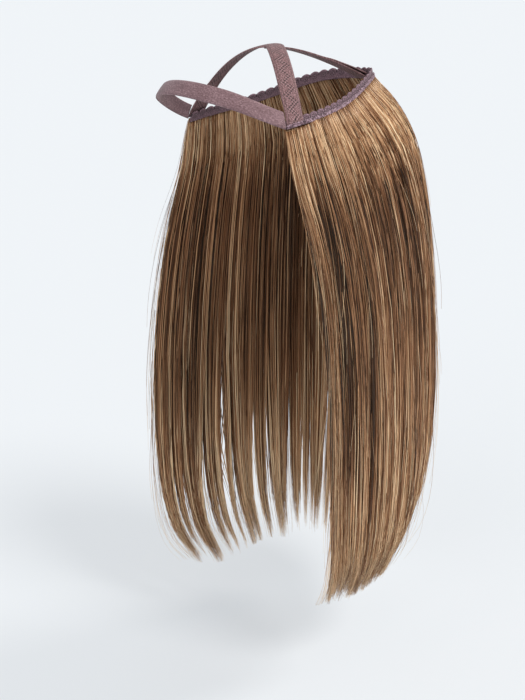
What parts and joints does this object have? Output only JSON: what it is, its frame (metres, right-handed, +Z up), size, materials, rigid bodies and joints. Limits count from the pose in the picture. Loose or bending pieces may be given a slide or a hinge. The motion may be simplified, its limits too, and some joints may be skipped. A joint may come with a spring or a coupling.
{
  "type": "half wig hairpiece with strap cap",
  "caption": "Half wig in its worn form: an open cap of elastic straps and a scalloped lace band that carries a long curtain of straight hair round the sides and back.",
  "frame": {"origin": "underside of the strap crossing at the crown, where the piece sits on a head", "axes": "+Z up, -Y towards the wearer's forehead, +X towards the wearer's left"},
  "size_m": [0.1874, 0.2503, 0.5088],
  "materials": {
    "smooth_elastic": "smooth matt mauve elastic",
    "net_elastic": "matt mauve brown net elastic",
    "lace": "matt lilac mauve lace",
    "hair": "glossy straight fibre, dark blond with pale and brown strands"
  },
  "bodies": {
    "root": {"front_band": "smooth_elastic", "crown_strap": "net_elastic", "back_strap": "net_elastic", "lace_band": "lace", "hair_left": "hair", "hair_back_left": "hair", "hair_back_right": "hair", "hair_right": "hair"}
  },
  "joints": []
}
